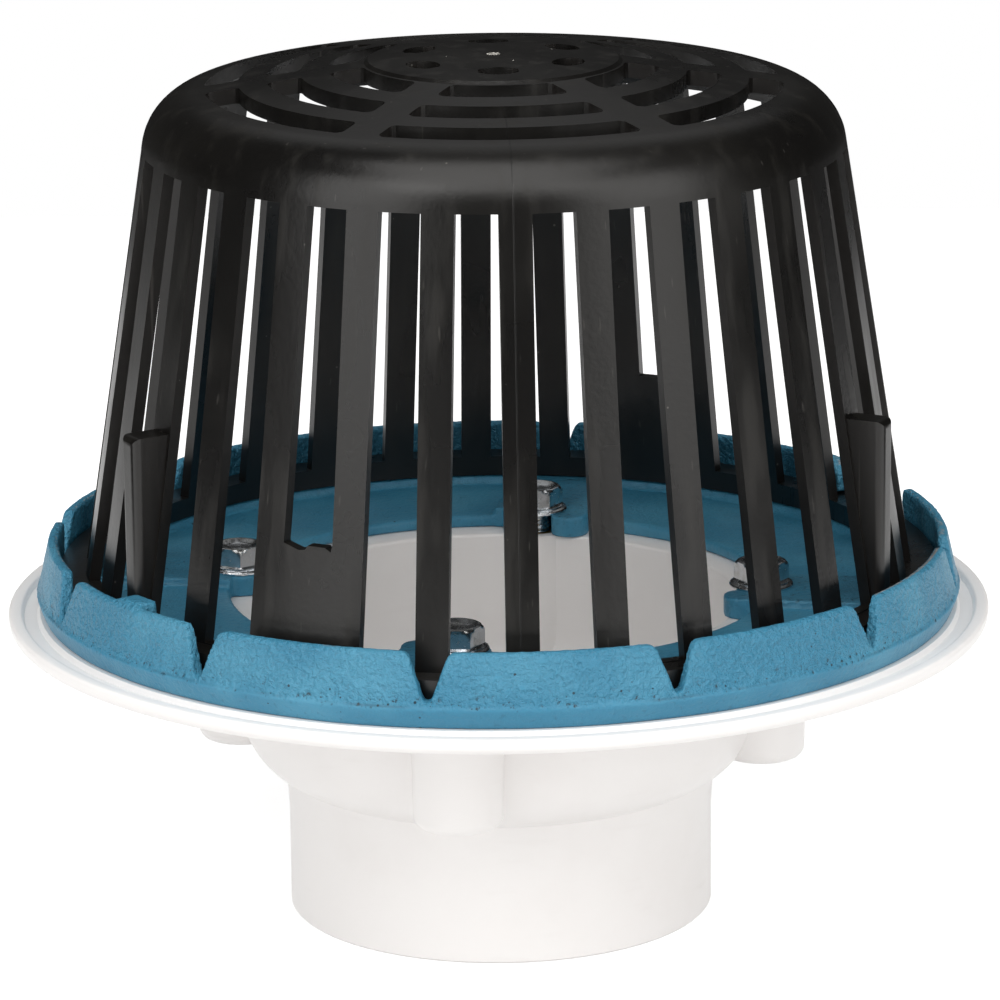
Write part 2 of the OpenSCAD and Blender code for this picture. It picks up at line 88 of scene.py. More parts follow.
class Graph:
    """Places and joins the nodes of one tree.

    Args:
        tree: The node tree to fill.
    """

    def __init__(self, tree: bpy.types.NodeTree) -> None:
        self.tree = tree

    def node(self, kind: str, **settings: object) -> bpy.types.Node:
        """Adds a node.

        Args:
            kind: The node's type name.
            settings: Properties to set on it.

        Returns:
            The new node.
        """
        made = self.tree.nodes.new(kind)
        for name, value in settings.items():
            setattr(made, name, value)
        return made

    def feed(self, target: Socket, source: Value) -> None:
        """Joins a socket to the target, or sets the target's value.

        Args:
            target: The input to feed.
            source: A socket or a plain value.
        """
        if isinstance(source, bpy.types.NodeSocket):
            self.tree.links.new(source, target)
        else:
            target.default_value = source

    def maths(self, operation: str, *values: Value, clamp: bool = False) -> Socket:
        """Adds a Math node.

        Args:
            operation: The operation's name.
            values: Its inputs in order.
            clamp: Whether the result is held between 0 and 1.

        Returns:
            The result's socket.
        """
        made = self.node("ShaderNodeMath", operation=operation, use_clamp=clamp)
        for target, value in zip(made.inputs, values):
            self.feed(target, value)
        return made.outputs[0]

    def ramp(self, value: Value, low: Value, high: Value) -> Socket:
        """Maps a value smoothly so that low becomes 0 and high becomes 1.

        Args:
            value: The value to map.
            low: Where the result is 0.
            high: Where the result is 1.

        Returns:
            The mapped value's socket.
        """
        made = self.node("ShaderNodeMapRange", interpolation_type="SMOOTHSTEP")
        self.feed(made.inputs[0], value)
        self.feed(made.inputs[1], low)
        self.feed(made.inputs[2], high)
        return made.outputs[0]

    def fall(self, value: Value, low: Value, high: Value) -> Socket:
        """Maps a value smoothly so that low becomes 1 and high becomes 0.

        Args:
            value: The value to map.
            low: Where the result is 1.
            high: Where the result is 0.

        Returns:
            The mapped value's socket.
        """
        return self.maths("SUBTRACT", 1.0, self.ramp(value, low, high))

    def times(self, first: Value, second: Value) -> Socket:
        """Multiplies two numbers.

        Args:
            first: A number or socket.
            second: A number or socket.

        Returns:
            The product's socket.
        """
        return self.maths("MULTIPLY", first, second)

    def noise(self, vector: Socket, scale: Value, detail: float = 2.0) -> bpy.types.Node:
        """Adds a Noise Texture.

        Args:
            vector: Its coordinates.
            scale: Its scale.
            detail: Its detail.

        Returns:
            The node.
        """
        made = self.node("ShaderNodeTexNoise")
        self.feed(made.inputs["Vector"], vector)
        self.feed(made.inputs["Scale"], scale)
        self.feed(made.inputs["Detail"], detail)
        return made

    def blend(self, share: Value, first: object, second: object) -> Socket:
        """Mixes two colours.

        Args:
            share: 0 gives the first colour and 1 the second.
            first: A colour or socket.
            second: A colour or socket.

        Returns:
            The mixed colour's socket.
        """
        made = self.node("ShaderNodeMix", data_type="RGBA")
        for target, source in ((0, share), (6, first), (7, second)):
            self.feed(made.inputs[target], source)
        return made.outputs[2]

    def between(self, share: Value, first: Value, second: Value) -> Socket:
        """Mixes two numbers.

        Args:
            share: 0 gives the first number and 1 the second.
            first: A number or socket.
            second: A number or socket.

        Returns:
            The mixed number's socket.
        """
        made = self.node("ShaderNodeMix", data_type="FLOAT")
        for target, source in ((0, share), (2, first), (3, second)):
            self.feed(made.inputs[target], source)
        return made.outputs[0]

    def stretched(self, vector: Socket, scale: tuple[float, float, float]) -> Socket:
        """Scales a vector by three factors.

        Args:
            vector: The vector to scale.
            scale: Its factors.

        Returns:
            The scaled vector's socket.
        """
        made = self.node("ShaderNodeVectorMath", operation="MULTIPLY")
        self.feed(made.inputs[0], vector)
        made.inputs[1].default_value = scale
        return made.outputs[0]


def rgb(red: int, green: int, blue: int) -> tuple[float, float, float, float]:
    """Turns a colour of 0 to 255 on a screen into the linear colour that shaders take.

    Args:
        red: Red.
        green: Green.
        blue: Blue.

    Returns:
        The linear colour with full alpha.
    """

    def linear(level: int) -> float:
        share = level / 255
        return share / 12.92 if share <= 0.04045 else ((share + 0.055) / 1.055) ** 2.4

    return (linear(red), linear(green), linear(blue), 1.0)


class ShaderGroups:
    """The shader effects of the finishes, each built once."""

    @staticmethod
    def _start(
        name: str, inputs: dict[str, float], outputs: tuple[str, ...]
    ) -> tuple[Graph, bpy.types.Node, bpy.types.Node]:
        """Makes a group with a Vector input, number inputs and number outputs.

        Args:
            name: The group's name.
            inputs: Names and defaults of its number inputs.
            outputs: Names of its outputs.

        Returns:
            The graph, the group's input node and its output node.
        """
        tree = bpy.data.node_groups.new(name, "ShaderNodeTree")
        tree.interface.new_socket("Vector", in_out="INPUT", socket_type="NodeSocketVector")
        for label, default in inputs.items():
            made = tree.interface.new_socket(label, in_out="INPUT", socket_type="NodeSocketFloat")
            made.default_value = default
        for label in outputs:
            tree.interface.new_socket(label, in_out="OUTPUT", socket_type="NodeSocketFloat")
        graph = Graph(tree)
        return graph, graph.node("NodeGroupInput"), graph.node("NodeGroupOutput")

    @classmethod
    @cache
    def patches(cls) -> bpy.types.NodeTree:
        """Soft noise between two levels: Vector, Scale, Detail, Low, High give Mask.

        Returns:
            The group.
        """
        graph, given, out = cls._start(
            "soft_patches", {"Scale": 20.0, "Detail": 3.0, "Low": 0.4, "High": 0.6}, ("Mask",)
        )
        noise = graph.noise(*(given.outputs[label] for label in ("Vector", "Scale", "Detail")))
        mask = graph.ramp(noise.outputs[0], given.outputs["Low"], given.outputs["High"])
        graph.feed(out.inputs["Mask"], mask)
        return graph.tree

    @classmethod
    @cache
    def specks(cls) -> bpy.types.NodeTree:
        """Scattered round dots: Vector, Scale, Share of cells, Size give Mask.

        Returns:
            The group.
        """
        graph, given, out = cls._start(
            "scattered_specks", {"Scale": 300.0, "Share": 0.1, "Size": 0.3}, ("Mask",)
        )
        cells = graph.node("ShaderNodeTexVoronoi")
        graph.feed(cells.inputs["Vector"], given.outputs["Vector"])
        graph.feed(cells.inputs["Scale"], given.outputs["Scale"])
        pick = graph.node("ShaderNodeSeparateColor")
        graph.feed(pick.inputs[0], cells.outputs["Color"])
        chosen = graph.maths("LESS_THAN", pick.outputs[0], given.outputs["Share"])
        size = graph.times(given.outputs["Size"], pick.outputs[1])
        inner = graph.times(size, 0.6)
        edge = graph.fall(cells.outputs["Distance"], inner, size)
        graph.feed(out.inputs["Mask"], graph.times(chosen, edge))
        return graph.tree

    @classmethod
    @cache
    def relief(cls) -> bpy.types.NodeTree:
        """Pebbled casting skin: Vector, Grain, Lumps give Height and the Hollow mask, where the
        enamel paints shade.

        Returns:
            The group.
        """
        graph, given, out = cls._start(
            "pebbled_relief", {"Grain": 900.0, "Lumps": 320.0}, ("Height", "Hollow")
        )
        grain = graph.noise(given.outputs["Vector"], given.outputs["Grain"])
        lumps = graph.noise(given.outputs["Vector"], given.outputs["Lumps"], 3.0)
        lumps.inputs["Roughness"].default_value = 0.62
        raised = graph.ramp(lumps.outputs[0], 0.3, 0.68)
        height = graph.maths("MULTIPLY_ADD", grain.outputs[0], 0.35, raised)
        graph.feed(out.inputs["Height"], height)
        graph.feed(out.inputs["Hollow"], graph.fall(lumps.outputs[0], 0.3, 0.42))
        return graph.tree


class Surface(Graph):
    """A material with its Principled shader, built on Object coordinates.

    Args:
        name: The material's name.
        metallic: The shader's metallic value.
        specular: The shader's specular level.
    """

    def __init__(self, name: str, metallic: float = 0.0, specular: float = 0.5) -> None:
        self.material = bpy.data.materials.new(name)
        self.material.use_nodes = True
        super().__init__(self.material.node_tree)
        self.shader = self.tree.nodes["Principled BSDF"]
        self.shader.inputs["Metallic"].default_value = metallic
        self.shader.inputs["Specular IOR Level"].default_value = specular
        self.place = self.node("ShaderNodeTexCoord").outputs["Object"]
        split = self.node("ShaderNodeSeparateXYZ")
        self.feed(split.inputs[0], self.place)
        self.x, self.y, self.z = split.outputs
        self.radius = self.maths(
            "SQRT",
            self.maths("ADD", self.maths("POWER", self.x, 2.0), self.maths("POWER", self.y, 2.0)),
        )

    def group(self, tree: bpy.types.NodeTree, **values: Value) -> bpy.types.Node:
        """Places a shader group on Object coordinates.

        Args:
            tree: The group.
            values: Its inputs, by name.  Vector may be given to replace the coordinates.

        Returns:
            The group's node.
        """
        made = self.node("ShaderNodeGroup", node_tree=tree)
        self.feed(made.inputs["Vector"], values.pop("Vector", self.place))
        for label, value in values.items():
            self.feed(made.inputs[label], value)
        return made

    def patches(self, scale: float, low: float, high: float, **more: Value) -> Socket:
        """Places soft patches.

        Args:
            scale: The noise's scale.
            low: The noise where the mask is 0.
            high: The noise where the mask is 1.
            more: The group's other inputs.

        Returns:
            The mask's socket.
        """
        made = self.group(ShaderGroups.patches(), Scale=scale, Low=low, High=high, **more)
        return made.outputs["Mask"]

    def specks(self, scale: float, share: Value, size: float) -> Socket:
        """Places scattered specks.

        Args:
            scale: Cells per metre.
            share: Share of the cells that hold a speck.
            size: The largest speck, as a share of a cell.

        Returns:
            The mask's socket.
        """
        made = self.group(ShaderGroups.specks(), Scale=scale, Share=share, Size=size)
        return made.outputs["Mask"]

    def bump(self, height: Socket, depth: float, strength: Value = 1.0) -> None:
        """Gives the surface fine relief.

        Args:
            height: The height from 0 to 1.
            depth: What a height of 1 stands for, in metres.
            strength: Share of the relief.
        """
        made = self.node("ShaderNodeBump")
        made.inputs["Distance"].default_value = depth
        self.feed(made.inputs["Strength"], strength)
        self.feed(made.inputs["Height"], height)
        self.feed(self.shader.inputs["Normal"], made.outputs[0])

    def finish(self, colour: object, roughness: Value) -> bpy.types.Material:
        """Feeds colour and roughness, and returns the material.

        Args:
            colour: The base colour or its socket.
            roughness: The roughness or its socket.

        Returns:
            The finished material.
        """
        self.feed(self.shader.inputs["Base Color"], colour)
        self.feed(self.shader.inputs["Roughness"], roughness)
        return self.material


# ---------- finishes ----------


@dataclass(frozen=True)
class WhiteVinyl:
    """Satin white moulded vinyl with faint dirt and a few dark specks."""

    white: tuple = rgb(248, 246, 245)
    dirt: tuple = rgb(214, 206, 202)
    speck: tuple = rgb(140, 108, 94)

    def material(self) -> bpy.types.Material:
        """Builds the finish.

        Returns:
            The material.
        """
        skin = Surface("white_vinyl", specular=0.45)
        cloud = skin.patches(26.0, 0.45, 0.8, Detail=5.0)
        scuff = skin.patches(
            60.0, 0.62, 0.7, Vector=skin.stretched(skin.place, (1.0, 1.0, 7.0)), Detail=4.0
        )
        dust = skin.times(cloud, 0.14)
        darkening = skin.maths("MULTIPLY_ADD", scuff, 0.03, dust)
        colour = skin.blend(darkening, self.white, self.dirt)
        colour = skin.blend(skin.times(skin.specks(190.0, 0.022, 0.16), 0.6), colour, self.speck)
        skin.bump(skin.noise(skin.place, 420.0).outputs[0], 0.02 * MM, 0.6)
        return skin.finish(colour, skin.between(scuff, 0.34, 0.5))


@dataclass(frozen=True)
class PaintedCasting:
    """Blue enamel over sand-cast iron, with bare metal along the rim's top and painted shade (a
    dark copy of the blue) in the relief's hollows, in pit specks and along the foot's crease.

    Args:
        band_top: Height of the smooth band round the foot.
        rim_top: Height of the rim's top.
        rim_inner: Radius of the rim's inner edge at its top.
        worn_right: Where bare metal starts on the right, as a range of x.
        worn_front: Where it turns from an unbroken line to flecks, as a range of y.
        worn_left: Where flecks start on the left, as a range of x.
    """

    band_top: float
    rim_top: float
    rim_inner: float
    paint: tuple = rgb(58, 132, 164)
    pale: tuple = rgb(76, 148, 178)
    painted_shade: tuple = rgb(16, 34, 44)
    iron: tuple = rgb(205, 200, 194)
    worn_right: tuple = (94 * MM, 97 * MM)
    worn_front: tuple = (-22 * MM, -19 * MM)
    worn_left: tuple = (-104 * MM, -108 * MM)

    def material(self) -> bpy.types.Material:
        """Builds the finish.

        Returns:
            The material.
        """
        skin = Surface("blue_enamel_on_iron", specular=0.5)
        relief = skin.group(ShaderGroups.relief(), Grain=1500.0, Lumps=620.0)
        rough = skin.between(skin.ramp(skin.z, self.band_top, self.band_top + 1.2 * MM), 0.3, 1.0)
        low_face = skin.times(
            skin.ramp(skin.z, self.band_top - 0.5 * MM, self.band_top + 0.6 * MM),
            skin.fall(skin.z, self.band_top + 1.5 * MM, self.band_top + 5 * MM),
        )
        # painted shade: the relief's hollows take the shaded blue, more so near the foot of the
        # rough face
        darkening = skin.maths("MULTIPLY_ADD", low_face, 0.72, 0.2)
        hollow_shade = skin.times(relief.outputs["Hollow"], darkening)
        # painted shade: dark specks of the shaded blue stand for pits, denser near the foot of
        # the rough face
        pit_shade = skin.specks(760.0, skin.maths("MULTIPLY_ADD", low_face, 0.15, 0.012), 0.36)
        colour = skin.blend(skin.patches(34.0, 0.42, 0.72, Detail=2.0), self.paint, self.pale)
        # painted shade: a dark line in the crease where the smooth foot band meets the rough face
        crease_shade = skin.maths(
            "SUBTRACT",
            skin.ramp(skin.z, self.band_top - 0.1 * MM, self.band_top + 0.5 * MM),
            skin.ramp(skin.z, self.band_top + 0.5 * MM, self.band_top + 1.1 * MM),
        )
        line = skin.times(crease_shade, skin.patches(60.0, 0.35, 0.65))
        # painted shade: the crease line, the hollows and the pit specks all blend towards the
        # shaded blue
        for share in (skin.times(line, 0.4), hollow_shade, skin.times(pit_shade, 0.9)):
            colour = skin.blend(share, colour, self.painted_shade)
        bare = self._bare(skin)
        colour = skin.blend(bare, colour, self.iron)
        skin.feed(skin.shader.inputs["Metallic"], skin.times(bare, 0.9))
        skin.bump(relief.outputs["Height"], 0.5 * MM, rough)
        return skin.finish(colour, skin.between(bare, 0.4, 0.32))

    def _bare(self, skin: Surface) -> Socket:
        """Mask of the places where handling took the paint off.

        Args:
            skin: The surface under work.

        Returns:
            The mask's socket.
        """
        top = skin.ramp(skin.z, self.rim_top - 1.5 * MM, self.rim_top - 1.0 * MM)
        crest = skin.ramp(skin.z, self.rim_top - 1.2 * MM, self.rim_top - 0.8 * MM)
        chips = skin.times(
            skin.patches(46.0, 0.6, 0.64, Detail=2.0), skin.patches(520.0, 0.45, 0.55)
        )
        edge = skin.fall(skin.radius, self.rim_inner + 0.5 * MM, self.rim_inner + 1.0 * MM)
        right = skin.ramp(skin.x, *self.worn_right)
        front = skin.fall(skin.y, *self.worn_front)
        left = skin.ramp(skin.x, *self.worn_left)
        flecks = skin.times(skin.patches(800.0, 0.5, 0.56), 0.8)
        worn = skin.times(right, skin.between(front, flecks, 1.0))
        worn = skin.maths("MAXIMUM", worn, skin.times(left, flecks))
        worn = skin.times(skin.times(worn, edge), top)
        inner = skin.fall(skin.radius, self.rim_inner + 1.1 * MM, self.rim_inner + 1.6 * MM)
        broken = skin.times(inner, skin.patches(300.0, 0.3, 0.4))
        rubbed = skin.times(skin.times(skin.times(right, front), top), broken)
        worn = skin.maths("MAXIMUM", worn, rubbed)
        return skin.maths("MAXIMUM", worn, skin.times(chips, crest))


@dataclass(frozen=True)
class BlackStrainer:
    """Satin black moulding: hazy scuffs, fine scratches, flow line, and painted shade on the slot
    sides, a browner tone set by which way they face.

    Args:
        knit_angle: Angle of the flow line in the front band, in degrees.
        knit_front: The flow line shows only where y is below this.
    """

    knit_angle: float
    knit_front: float = -60 * MM
    black: tuple = rgb(13, 12, 11)
    haze: tuple = rgb(36, 34, 30)
    painted_side_shade: tuple = rgb(20, 16, 13)
    dust: tuple = rgb(128, 125, 120)
    knit: tuple = rgb(8, 8, 8)

    def material(self) -> bpy.types.Material:
        """Builds the finish.

        Returns:
            The material.
        """
        skin = Surface("satin_black_moulding", specular=0.55)
        haze = skin.patches(16.0, 0.4, 0.78, Detail=5.0)
        drag = skin.patches(
            150.0, 0.5, 0.75, Vector=skin.stretched(skin.place, (1.0, 1.0, 0.06)), Detail=3.0
        )
        scratch = skin.patches(
            700.0, 0.72, 0.8, Vector=skin.stretched(skin.place, (1.0, 1.0, 0.02)), Detail=1.0
        )
        side = self._side_faces(skin)
        line = self._knit(skin)
        colour = self.black
        for mask, share, tint in (
            (haze, 0.35, self.haze),
            (drag, 0.4, self.haze),
            # painted shade: the slot sides take a browner tone because of the way they face
            (side, 0.6, self.painted_side_shade),
            (scratch, 0.12, self.dust),
            (skin.specks(420.0, 0.03, 0.2), 0.4, self.dust),
            (line, 0.7, self.knit),
        ):
            colour = skin.blend(skin.times(mask, share), colour, tint)
        grain = skin.noise(skin.place, 700.0, 3.0)
        height = skin.maths("SUBTRACT", grain.outputs[0], line)
        skin.bump(skin.maths("MULTIPLY_ADD", drag, 0.6, height), 0.035 * MM)
        rough = skin.maths("MULTIPLY_ADD", haze, 0.12, 0.27)
        rough = skin.maths("MULTIPLY_ADD", drag, 0.1, rough)
        return skin.finish(colour, skin.maths("MULTIPLY_ADD", side, 0.06, rough))

    def _side_faces(self, skin: Surface) -> Socket:
        """Mask of the faces inside the slots, which look along the ring; it gives them a painted
        shade tone and more roughness.

        Args:
            skin: The surface under work.

        Returns:
            The mask's socket.
        """
        normal = skin.node("ShaderNodeSeparateXYZ")
        skin.feed(normal.inputs[0], skin.node("ShaderNodeTexCoord").outputs["Normal"])
        across = skin.maths(
            "SUBTRACT",
            skin.times(normal.outputs[1], skin.x),
            skin.times(normal.outputs[0], skin.y),
        )
        share = skin.maths("ABSOLUTE", skin.maths("DIVIDE", across, skin.radius))
        return skin.ramp(share, 0.6, 0.85)

    def _knit(self, skin: Surface) -> Socket:
        """Mask of the thin line where the plastic's flow met, in the front band.

        Args:
            skin: The surface under work.

        Returns:
            The mask's socket.
        """
        turn = math.radians(self.knit_angle)
        across = skin.maths(
            "SUBTRACT", skin.times(skin.x, math.sin(turn)), skin.times(skin.y, math.cos(turn))
        )
        line = skin.fall(skin.maths("ABSOLUTE", across), 0.05 * MM, 0.22 * MM)
        return skin.times(line, skin.maths("LESS_THAN", skin.y, self.knit_front))


@dataclass(frozen=True)
class BrightZinc:
    """Bright zinc plating with a faint grey cloud, rust specks and fine scratches."""

    zinc: tuple = rgb(226, 230, 234)
    cloud: tuple = rgb(198, 200, 198)
    rust: tuple = rgb(96, 44, 28)

    def material(self) -> bpy.types.Material:
        """Builds the finish.

        Returns:
            The material.
        """
        skin = Surface("bright_zinc", metallic=1.0)
        colour = skin.blend(skin.patches(220.0, 0.45, 0.7, Detail=4.0), self.zinc, self.cloud)
        colour = skin.blend(skin.times(skin.specks(420.0, 0.012, 0.24), 0.6), colour, self.rust)
        scratch = skin.patches(900.0, 0.5, 0.75, Detail=4.0)
        skin.bump(scratch, 0.02 * MM)
        return skin.finish(colour, skin.between(scratch, 0.2, 0.32))


@dataclass(frozen=True)
class TurnedBrass:
    """Turned brass with fine lathe rings and a dull cloud."""

    brass: tuple = rgb(196, 158, 92)
    dull: tuple = rgb(140, 108, 64)

    def material(self) -> bpy.types.Material:
        """Builds the finish.

        Returns:
            The material.
        """
        skin = Surface("turned_brass", metallic=1.0)
        rings = skin.patches(
            300.0, 0.4, 0.6, Vector=skin.stretched(skin.place, (0.05, 0.05, 8.0))
        )
        colour = skin.blend(skin.patches(150.0, 0.4, 0.7, Detail=4.0), self.brass, self.dull)
        skin.bump(rings, 0.02 * MM)
        return skin.finish(colour, skin.between(rings, 0.28, 0.36))


@dataclass(frozen=True)
class Residue:
    """Pale crumbs and stress-whitened plastic left where the sprue was cut."""

    pale: tuple = rgb(206, 203, 196)
    grey: tuple = rgb(60, 58, 54)

    def material(self) -> bpy.types.Material:
        """Builds the finish.

        Returns:
            The material.
        """
        skin = Surface("sprue_residue", specular=0.3)
        mask = skin.patches(1500.0, 0.4, 0.6, Detail=3.0)
        skin.bump(mask, 0.1 * MM)
        return skin.finish(skin.blend(mask, self.pale, self.grey), skin.between(mask, 0.6, 0.4))


@dataclass(frozen=True)
class StudioSheet:
    """White paper sheet under the part, white to the camera away from the shadow."""

    paper: tuple = rgb(234, 234, 234)
    shade: tuple = rgb(214, 214, 214)
    lift: float = 0.6

    def material(self) -> bpy.types.Material:
        """Builds the finish.

        Returns:
            The material.
        """
        skin = Surface("studio_sheet", specular=0.1)
        tooth = skin.patches(240.0, 0.3, 0.7)
        skin.bump(tooth, 0.03 * MM)
        paper = skin.blend(skin.times(tooth, 0.02), self.paper, self.shade)
        skin.finish(paper, skin.between(tooth, 0.85, 0.9))
        glow = skin.node("ShaderNodeEmission")
        glow.inputs["Strength"].default_value = self.lift
        rays = skin.node("ShaderNodeLightPath")
        seen = skin.maths("MAXIMUM", rays.outputs["Is Camera Ray"], rays.outputs["Is Glossy Ray"])
        seen = skin.maths("MAXIMUM", seen, rays.outputs["Is Transmission Ray"])
        mix = skin.node("ShaderNodeMixShader")
        both = skin.node("ShaderNodeAddShader")
        skin.feed(both.inputs[0], skin.shader.outputs[0])
        skin.feed(both.inputs[1], glow.outputs[0])
        skin.feed(mix.inputs[0], seen)
        skin.feed(mix.inputs[1], skin.shader.outputs[0])
        skin.feed(mix.inputs[2], both.outputs[0])
        skin.feed(skin.tree.nodes["Material Output"].inputs[0], mix.outputs[0])
        return skin.material


# ---------- meshes ----------


def new_object(name: str, mesh: bpy.types.Mesh) -> bpy.types.Object:
    """Puts a mesh in the scene as an object at the origin.

    Args:
        name: The object's name.
        mesh: Its mesh.

    Returns:
        The new object.
    """
    made = bpy.data.objects.new(name, mesh)
    bpy.context.scene.collection.objects.link(made)
    return made


def node_copy(node: str, name: str) -> bpy.types.Object:
    """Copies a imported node's mesh into a new object with its corners joined.

    Args:
        node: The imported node.
        name: The new object's name.

    Returns:
        The copy.
    """
    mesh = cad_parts[node].data.copy()
    mesh.name = name
    custom = mesh.attributes.get("custom_normal")
    if custom is not None:
        mesh.attributes.remove(custom)
    work = bmesh.new()
    work.from_mesh(mesh)
    bmesh.ops.remove_doubles(work, verts=work.verts, dist=JOIN_DISTANCE)
    bmesh.ops.dissolve_degenerate(work, dist=SLIVER, edges=work.edges)
    work.to_mesh(mesh)
    work.free()
    return new_object(name, mesh)


def settle(thing: bpy.types.Object) -> None:
    """Turns what an object's modifiers give into its plain mesh.

    Args:
        thing: The object.
    """
    graph = bpy.context.evaluated_depsgraph_get()
    mesh = bpy.data.meshes.new_from_object(
        thing.evaluated_get(graph), preserve_all_data_layers=True, depsgraph=graph
    )
    thing.modifiers.clear()
    mesh.name = thing.name
    thing.data = mesh


def shade_by_angle(thing: bpy.types.Object, degrees: float) -> None:
    """Shades smooth and keeps the edges sharp that turn by more than an angle.

    Args:
        thing: The object.
        degrees: The angle.
    """
    work = bmesh.new()
    work.from_mesh(thing.data)
    limit = math.radians(degrees)
    for face in work.faces:
        face.smooth = True
    for edge in work.edges:
        edge.smooth = len(edge.link_faces) == 2 and edge.calc_face_angle(0.0) < limit
    work.to_mesh(thing.data)
    work.free()


def soften(thing: bpy.types.Object, voxel: float, rounds: int, keep: float) -> None:
    """Rounds every edge a little, as a mould or a coat of paint does.

    Args:
        thing: The object, whose mesh is closed.
        voxel: Size of the voxels that it is rebuilt from.
        rounds: Smoothing steps after that.
        keep: Share of the triangles to keep.
    """
    remesh = thing.modifiers.new("rebuild", "REMESH")
    remesh.mode = "VOXEL"
    remesh.voxel_size = voxel
    remesh.use_smooth_shade = True
    ease = thing.modifiers.new("ease", "SMOOTH")
    ease.factor = 0.5
    ease.iterations = rounds
    thin = thing.modifiers.new("thin", "DECIMATE")
    thin.ratio = keep
    settle(thing)


def dress(thing: bpy.types.Object, body: Body, finish: bpy.types.Material) -> None:
    """Gives a piece its finish and body.

    Args:
        thing: The piece.
        body: The body that it rides on.
        finish: Its material.
    """
    thing.data.materials.clear()
    thing.data.materials.append(finish)
    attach(thing, body.value)


def report(thing: bpy.types.Object) -> None:
    """Logs a finished piece.

    Args:
        thing: The piece.
    """
    thing.data.calc_loop_triangles()
    log.info("%s: %d triangles", thing.name, len(thing.data.loop_triangles))


# ---------- geometry node trees ----------


class GeometryTree(Graph):
    """A Geometry Nodes tree with named inputs that ends in Realize Instances and Set Material.

    Args:
        name: The tree's name.
        inputs: Names and socket types of its inputs, after the geometry.
    """

    def __init__(self, name: str, inputs: dict[str, str]) -> None:
        tree = bpy.data.node_groups.new(name, "GeometryNodeTree")
        tree.interface.new_socket("Geometry", in_out="INPUT", socket_type="NodeSocketGeometry")
        for label, kind in inputs.items():
            tree.interface.new_socket(label, in_out="INPUT", socket_type="NodeSocket" + kind)
        tree.interface.new_socket("Geometry", in_out="OUTPUT", socket_type="NodeSocketGeometry")
        super().__init__(tree)
        self.given = self.node("NodeGroupInput")

    def close(self, geometry: Socket) -> None:
        """Ends the tree.

        Args:
            geometry: What the tree made.
        """
        real = self.node("GeometryNodeRealizeInstances")
        paint = self.node("GeometryNodeSetMaterial")
        self.feed(real.inputs[0], geometry)
        self.feed(paint.inputs["Geometry"], real.outputs[0])
        self.feed(paint.inputs["Material"], self.given.outputs["Finish"])
        self.feed(self.node("NodeGroupOutput").inputs[0], paint.outputs[0])

    def run(self, thing: bpy.types.Object, **values: object) -> None:
        """Runs the tree on an object and settles the result.

        Args:
            thing: The object.
            values: The inputs, by name with _ for each space.
        """
        modifier = thing.modifiers.new(self.tree.name, "NODES")
        modifier.node_group = self.tree
        keys = {
            item.name: item.identifier
            for item in self.tree.interface.items_tree
            if item.in_out == "INPUT"
        }
        for name, value in values.items():
            modifier[keys[name.replace("_", " ")]] = value
        settle(thing)


def cast_skin_tree() -> GeometryTree:
    """Tree that lays a casting's soft unevenness on a mesh, above a given height.

    Returns:
        The tree, with inputs Lump Size, Lump Height, Wave Size, Wave Height, From, Finish.
    """
    tree = GeometryTree(
        "cast_skin",
        {
            "Lump Size": "Float",
            "Lump Height": "Float",
            "Wave Size": "Float",
            "Wave Height": "Float",
            "From": "Float",
            "Finish": "Material",
        },
    )
    given = tree.given.outputs
    where = tree.node("GeometryNodeInputPosition").outputs[0]
    split = tree.node("ShaderNodeSeparateXYZ")
    tree.feed(split.inputs[0], where)

    def relief(size: Socket, height: Socket) -> Socket:
        """Makes noise of a given size and height, about 0."""
        noise = tree.noise(where, tree.maths("DIVIDE", 1.0, size), 1.0)
        return tree.times(tree.maths("SUBTRACT", noise.outputs[0], 0.5), height)

    rough = tree.ramp(split.outputs[2], given["From"], tree.maths("ADD", given["From"], 1 * MM))
    lumps = tree.times(relief(given["Lump Size"], given["Lump Height"]), rough)
    waves = relief(given["Wave Size"], given["Wave Height"])
    push = tree.node("ShaderNodeVectorMath", operation="SCALE")
    tree.feed(push.inputs[0], tree.node("GeometryNodeInputNormal").outputs[0])
    tree.feed(push.inputs["Scale"], tree.maths("ADD", lumps, waves))
    shift = tree.node("GeometryNodeSetPosition")
    tree.feed(shift.inputs["Geometry"], given["Geometry"])
    tree.feed(shift.inputs["Offset"], push.outputs[0])
    tree.close(shift.outputs[0])
    return tree


def bolt_circle_tree() -> GeometryTree:
    """Tree that sets a fastener on each point, turned by the point's "turn" attribute.

    Returns:
        The tree, with inputs Fastener and Finish.
    """
    tree = GeometryTree("bolt_circle", {"Fastener": "Object", "Finish": "Material"})
    given = tree.given.outputs
    bolt = tree.node("GeometryNodeObjectInfo")
    tree.feed(bolt.inputs["Object"], given["Fastener"])
    turn = tree.node("GeometryNodeInputNamedAttribute", data_type="FLOAT")
    turn.inputs[0].default_value = "turn"
    spin = tree.node("ShaderNodeCombineXYZ")
    tree.feed(spin.inputs[2], turn.outputs[0])
    place = tree.node("GeometryNodeInstanceOnPoints")
    points = tree.node("GeometryNodeMeshToPoints")
    tree.feed(points.inputs[0], given["Geometry"])
    tree.feed(place.inputs["Points"], points.outputs[0])
    tree.feed(place.inputs["Instance"], bolt.outputs["Geometry"])
    tree.feed(place.inputs["Rotation"], spin.outputs[0])
    tree.close(place.outputs[0])
    return tree


